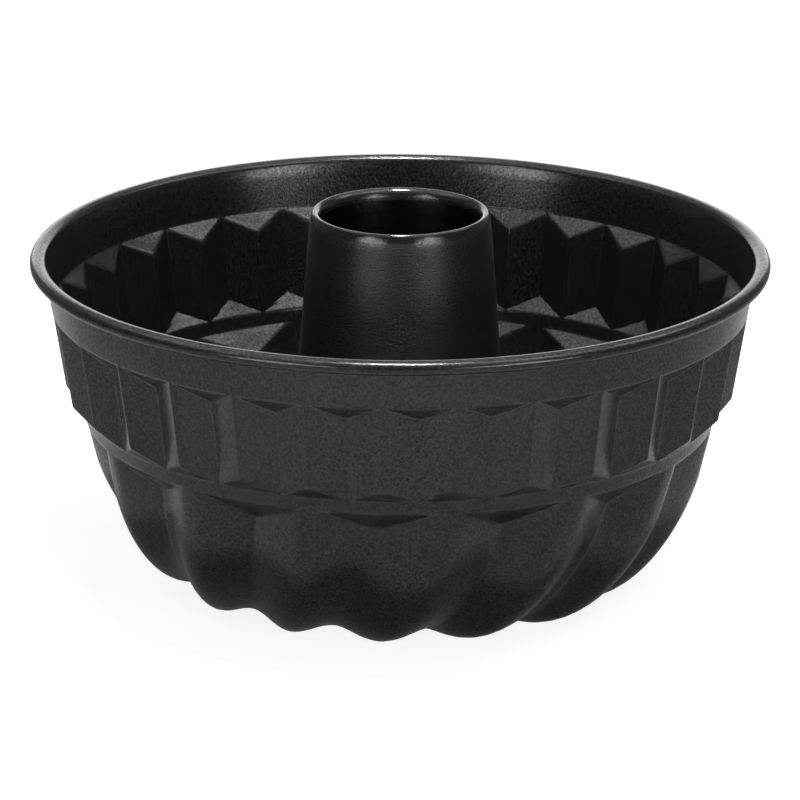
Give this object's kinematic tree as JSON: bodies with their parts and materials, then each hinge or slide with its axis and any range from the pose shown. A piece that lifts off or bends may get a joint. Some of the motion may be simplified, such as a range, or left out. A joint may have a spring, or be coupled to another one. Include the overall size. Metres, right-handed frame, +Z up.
{
  "type": "fluted tube pan",
  "caption": "Small round baking mould in dark coated steel, with short upright flutes over swirled lobes, a rolled rim and an open tapered tube up the middle.",
  "frame": {"origin": "on the tube's axis, in the plane of the lobes' feet that the pan rests on", "axes": "+Z up along the tube, -Y towards the camera, +X to the picture's right"},
  "size_m": [0.165, 0.165, 0.0841],
  "materials": {
    "shell_coat": "satin non-stick coat",
    "tube_coat": "satin non-stick coat",
    "wire": "drawn"
  },
  "bodies": {
    "root": {"fluted_shell": "shell_coat", "centre_tube": "tube_coat", "rim_wire": "wire"}
  },
  "joints": []
}
